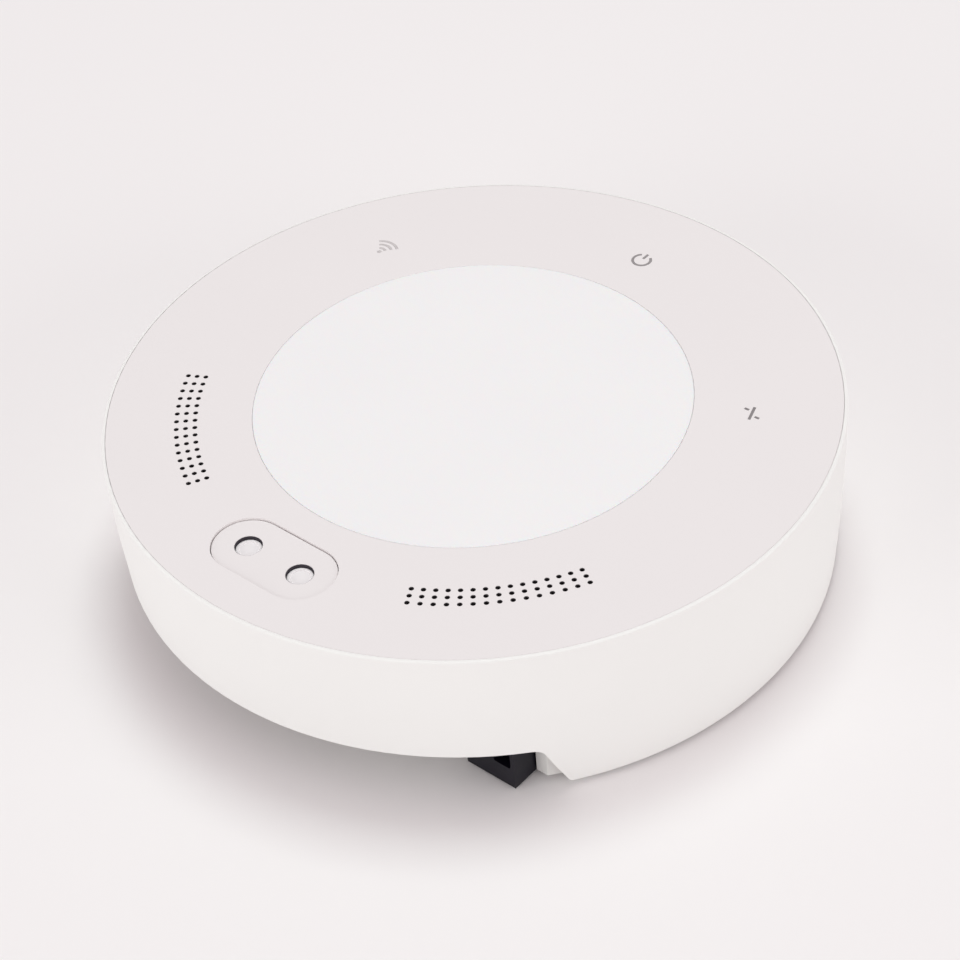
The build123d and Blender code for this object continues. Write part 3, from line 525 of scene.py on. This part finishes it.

# Sound hole shade: a short near-black sleeve stands in every sound hole as painted shade, so that
# the holes look dark. The sleeves end just below the ring's face.
RING_LOW, RING_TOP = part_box("vent_mesh_left")[1][2] / MM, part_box("top_ring")[1][2] / MM
HOLE_CIRCLES = (51.1, 49.5, 47.9)
HOLE_COLUMNS, HOLE_SPAN, HOLE_ANGLE = 15, 33, 45
SLEEVE_RADIUS, SLEEVE_WALL, SLEEVE_DROP = 0.44, 0.12, 0.08


def tube(shape, outer, wall, low, high, centre, steps):
    """An upright tube in a bmesh, in millimetres: the section of its wall, spun once round."""
    inner = outer - wall
    corners = [(inner, low), (outer, low), (outer, high), (inner, high)]
    section = [shape.verts.new((centre[0] + reach, centre[1], level)) for reach, level in corners]
    sides = [shape.edges.new((section[corner - 1], section[corner])) for corner in range(4)]
    bmesh.ops.spin(
        shape, geom=section + sides, cent=(*centre, 0), axis=(0, 0, 1), angle=2 * pi, steps=steps,
        use_merge=True,
    )


# Painted shade: this near-black colour stands for the shade inside the sound holes.
sleeve_shade = finish(
    "painted_sound_hole_shade", {"IOR": 1.45, "Specular IOR Level": 0.2},
    patch=2, tones=("#2A2729", "#332F32"), gloss=(0.75, 0.9), grain=0.2, depth=0.01,
)
for name, side in (("left", -1), ("right", 1)):
    shade_sleeves = bmesh.new()
    for circle in HOLE_CIRCLES:
        for column in range(HOLE_COLUMNS):
            share = column / (HOLE_COLUMNS - 1) - 0.5
            angle = radians(-90 + side * HOLE_ANGLE + HOLE_SPAN * share)
            tube(
                shade_sleeves, SLEEVE_RADIUS, SLEEVE_WALL, RING_LOW, RING_TOP - SLEEVE_DROP,
                (circle * cos(angle), circle * sin(angle)), 16,
            )
    piece(f"sound_hole_shade_{name}", shade_sleeves, sleeve_shade)

# Dust meshes: black polyester weave, glued under the sound holes. The weave is drawn at
# 0.6 mm a thread, about six times the real one, so that it shows.
THREAD, THREAD_RISE = 0.6, 0.05
mesh_cloth, shader, place = begin("woven_polyester_mesh", {"Roughness": 0.8, "Sheen Weight": 0.2})
# A wave texture has a crest about every 1 / (pi * scale).
across, along = (
    add(mesh_cloth, "TexWave", {
        "Vector": place, "Scale": 1 / (pi * THREAD * MM), "bands_direction": way,
    })
    for way in ("X", "Y")
)
weave = add(mesh_cloth, "Math", {
    "operation": "MAXIMUM", 0: across.outputs["Fac"], 1: along.outputs["Fac"],
})
cloth = add(mesh_cloth, "Mix", {
    "data_type": "RGBA", 0: weave.outputs[0], 6: linear("#0C0B0D"), 7: linear("#2E2B2E"),
})
threads = add(mesh_cloth, "Bump", {
    "Height": weave.outputs[0], "Strength": 0.8, "Distance": THREAD_RISE * MM,
})
feed(mesh_cloth, shader, {"Base Color": cloth.outputs[2], "Normal": threads.outputs["Normal"]})
paint(mesh_cloth, "vent_mesh_left", "vent_mesh_right")

# Light guides: smoky polycarbonate pushed up through the ring, so that each icon lies flush
# and shows grey while its lamp is off. The wireless one is the palest.
ICONS = {
    "icon_wifi": ("#D4CECE", "#CEC8C8"),
    "icon_power": ("#9A9495", "#928C8D"),
    "icon_link": ("#8A8485", "#827C7D"),
}
for icon, tones in ICONS.items():
    guide = finish(
        f"smoky_polycarbonate_{icon}", {"IOR": 1.58, "Transmission Weight": 0.1},
        patch=3, tones=tones, gloss=(0.42, 0.5), grain=0.3, depth=0.01,
    )
    paint(guide, icon)

# Bezel and buttons: the bezel is moulded in the ring's colour and drops in from below. The
# two buttons are whiter, and slide in its wells. A dark line shows round each: the gap's shade,
# and the painted shade of a dark sleeve in the well.
bezel_plastic = finish(
    "satin_grey_abs", {"IOR": 1.5, "Specular IOR Level": 0.35},
    patch=10, tones=("#ECE7E7", "#E9E4E4"), gloss=(0.5, 0.58), grain=0.3, depth=0.01,
)
button_plastic = finish(
    "satin_white_abs", {"IOR": 1.5, "Specular IOR Level": 0.4},
    patch=4, tones=("#F9F5F6", "#F6F2F3"), gloss=(0.42, 0.5), grain=0.25, depth=0.008,
)
paint(bezel_plastic, "button_bezel")
paint(button_plastic, "button_left", "button_right")
# Well shade: a thin dark grey sleeve lines each well below its edge, as painted shade on the
# well's wall.
WELL_RADIUS, SHADE_WALL, SHADE_DROP, SHADE_DEPTH = 2.345, 0.05, 0.13, 1.35
# Painted shade: this dark grey stands for the shade on each well's wall.
painted_well_shade = finish(
    "painted_well_shade", {"IOR": 1.45, "Specular IOR Level": 0.25},
    patch=2, tones=("#3A363C", "#443F46"), gloss=(0.6, 0.75), grain=0.2, depth=0.01,
)
bezel_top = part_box("button_bezel")[1][2] / MM
for name in ("left", "right"):
    low, high = span(f"button_{name}")
    well_sleeve = bmesh.new()
    tube(
        well_sleeve, WELL_RADIUS, SHADE_WALL, bezel_top - SHADE_DEPTH, bezel_top - SHADE_DROP,
        ((low.x + high.x) / 2, (low.y + high.y) / 2), 64,
    )
    piece(f"button_well_shade_{name}", well_sleeve, painted_well_shade)

# Light disc: opal white polycarbonate, smooth and slightly translucent, held flush in the
# ring. It hides the lamps until they flash.
opal = finish(
    "opal_polycarbonate", {
        "IOR": 1.58, "Specular IOR Level": 0.35, "Subsurface Weight": 0.1,
        "Subsurface Scale": 0.002,
    },
    patch=25, tones=("#F3F1F1", "#F0EEEF"), gloss=(0.46, 0.52), grain=0.4, depth=0.006,
)
paint(opal, "light_disc")

# Outer shell: white plastic with a fine satin grain, moulded in one with its lip and its
# shelf, and notched at the front for the cables.
shell_plastic = finish(
    "spark_eroded_white_abs", {"IOR": 1.5, "Specular IOR Level": 0.4},
    patch=28, tones=("#F2F1EF", "#EFEEEC"), gloss=(0.46, 0.54), grain=GRAIN, depth=0.01,
)
paint(shell_plastic, "outer_shell")

# Bottom cover: the same white plastic with a coarser grain that hides scuffs. It carries a
# blank label of silver polyester in its shallow recess.
LABEL = Vector((42.6, 20.6, 0.12))
LABEL_Y, RECESS_ROOF, LABEL_ROUND = 27.0, 1.3, 1.6
cover_plastic = finish(
    "coarse_grained_white_abs", {"IOR": 1.5, "Specular IOR Level": 0.35},
    patch=20, tones=("#E9E8E5", "#E4E3E0"), gloss=(0.58, 0.68), grain=0.5, depth=0.03,
)
foil = finish(
    "silver_polyester_foil", {"Metallic": 0.6},
    patch=9, tones=("#D4D4D6", "#CBCBCE"), gloss=(0.34, 0.44), grain=0.6, depth=0.01,
)
paint(cover_plastic, "bottom_cover")
label = bmesh.new()
block(label, LABEL, (0, LABEL_Y, RECESS_ROOF - LABEL.z / 2))
upright = [
    edge for edge in label.edges
    if abs(edge.verts[0].co.z - edge.verts[1].co.z) > LABEL.z / 2
]
soften(label, upright, LABEL_ROUND, 8)
piece("blank_label", label, foil)

# Cover screws: zinc-plated steel with a pressed cross recess, driven up from below. They
# clamp the cover, the board and the ring, and their shanks carry a rolled thread.
SCREW_PITCH, SCREW_HEAD, THREAD_DEPTH = 1.0, 4.5, 0.3
threaded, shader, place = begin("rolled_zinc_thread", {"Metallic": 1.0})
_, bump = uneven(
    threaded, shader, place,
    patch=2, tones=("#B9BCC0", "#A6A9AE"), gloss=(0.24, 0.4), grain=0.3, depth=0.01,
)
ridge = add(threaded, "TexWave", {
    "Vector": place, "Scale": 1 / (pi * SCREW_PITCH * MM), "bands_direction": "Z",
})
level = add(threaded, "SeparateXYZ", {"Vector": place})
shank = add(threaded, "Math", {
    "operation": "GREATER_THAN", 0: level.outputs["Z"], 1: SCREW_HEAD * MM,
})
thread = add(threaded, "Math", {
    "operation": "MULTIPLY", 0: ridge.outputs["Fac"], 1: shank.outputs[0],
})
crest = add(threaded, "Bump", {
    "Height": thread.outputs[0], "Strength": 0.9, "Distance": THREAD_DEPTH * MM,
    "Normal": bump.outputs["Normal"],
})
feed(threaded, shader, {"Normal": crest.outputs["Normal"]})
paint(threaded, "cover_screws")

# Feet: soft dark rubber discs pressed into the cover's wells, matt and a little dusty.
rubber = finish(
    "moulded_rubber", {"IOR": 1.52, "Specular IOR Level": 0.3},
    patch=6, tones=("#2A292B", "#353436"), gloss=(0.75, 0.9), grain=0.3, depth=0.03,
)
paint(rubber, "rubber_feet")

# Table under the controller: a plain pale sweep, wide enough to fill every view.
FLOOR = 3000
NEAR_FLOOR, FAR_FLOOR = 450, 950
floor_shape = bmesh.new()
bmesh.ops.create_grid(floor_shape, x_segments=1, y_segments=1, size=FLOOR * MM)
floor_mesh = bpy.data.meshes.new("floor")
floor_shape.to_mesh(floor_mesh)
floor_shape.free()
floor = bpy.data.objects.new("floor", floor_mesh)
bpy.context.scene.collection.objects.link(floor)
paper, shader, place = begin("matt_paper", {"Specular IOR Level": 0.0})
uneven(
    paper, shader, place,
    patch=300, tones=("#F3F0F0", "#F4F1F1"), gloss=(0.9, 0.95), grain=2.0, depth=0.002,
)
# Past the lamps' reach the camera sees the sweep as pale as it is near the controller.
distance = add(paper, "VectorMath", {"operation": "LENGTH", 0: place})
fade = add(paper, "MapRange", {
    "interpolation_type": "SMOOTHSTEP", "Value": distance.outputs["Value"],
    "From Min": NEAR_FLOOR * MM, "From Max": FAR_FLOOR * MM,
})
watched = add(paper, "LightPath", {})
far_share = add(paper, "Math", {
    "operation": "MULTIPLY", 0: fade.outputs[0], 1: watched.outputs["Is Camera Ray"],
})
backdrop = add(paper, "Emission", {"Color": linear("#F3EFEF")})
sweep = add(paper, "MixShader", {
    0: far_share.outputs[0], 1: shader.outputs[0], 2: backdrop.outputs[0],
})
feed(paper, paper.node_tree.nodes["Material Output"], {"Surface": sweep.outputs[0]})
floor_mesh.materials.append(paper)

# Light: an even pale room, a soft lamp high behind the puck, which throws a short shadow
# towards the camera, and two low lamps before it that light the near wall.
ROOM_LIGHT, ROOM_SEEN = 0.62, 0.9
# Each lamp's place and size in metres, its power in watts and its colour.
LAMPS = [
    ("key", (-0.12, 0.27, 1.13), 0.40, 3.9, "#F0FFFB"),
    ("left", (-0.25, -1.0, 0.3), 0.7, 3.6, "#F7FFFC"),
    ("right", (1.0, 0.12, 0.3), 0.7, 2.9, "#F7FFFC"),
]


def facing(spot, away):
    """The place of a lamp or camera that stands at a spot, with its back to this direction."""
    return Matrix.Translation(spot) @ Vector(away).to_track_quat("Z", "Y").to_matrix().to_4x4()


room = bpy.data.worlds.new("room")
bpy.context.scene.world = room
room.use_nodes = True
rays = add(room, "LightPath", {})
seen = rays.outputs["Is Camera Ray"]
for ray in ("Is Glossy Ray", "Is Transmission Ray"):
    seen = add(room, "Math", {"operation": "MAXIMUM", 0: seen, 1: rays.outputs[ray]}).outputs[0]
strength = add(room, "MapRange", {"Value": seen, "To Min": ROOM_LIGHT, "To Max": ROOM_SEEN})
tint = add(room, "Mix", {
    "data_type": "RGBA", 0: seen, 6: linear("#FFF4F7"), 7: linear("#FFFBFB"),
})
feed(room, room.node_tree.nodes["Background"], {
    "Strength": strength.outputs[0], "Color": tint.outputs[2],
})
for name, spot, size, power, colour in LAMPS:
    light = bpy.data.lights.new(name, "AREA")
    light.size = size
    light.energy = power
    light.color = linear(colour)[:3]
    lamp = bpy.data.objects.new(name, light)
    lamp.matrix_world = facing(spot, spot)
    bpy.context.scene.collection.objects.link(lamp)

# Camera: high at the front right, turned a little, as the picture shows the controller.
AZIMUTH, ELEVATION, ROLL, DISTANCE, LENS = 43.5, 41.1, 5.3, 0.448, 95
TARGET = Vector((0, 0, 0.013))
azimuth, elevation = radians(AZIMUTH), radians(ELEVATION)
bearing = Vector((
    cos(elevation) * sin(azimuth), -cos(elevation) * cos(azimuth), sin(elevation),
))
camera = bpy.data.objects.new("camera", bpy.data.cameras.new("camera"))
camera.data.lens = LENS
camera.matrix_world = (
    facing(TARGET + DISTANCE * bearing, bearing) @ Matrix.Rotation(radians(-ROLL), 4, "Z")
)
bpy.context.scene.collection.objects.link(camera)
bpy.context.scene.camera = camera
bpy.context.scene.view_settings.view_transform = "Standard"
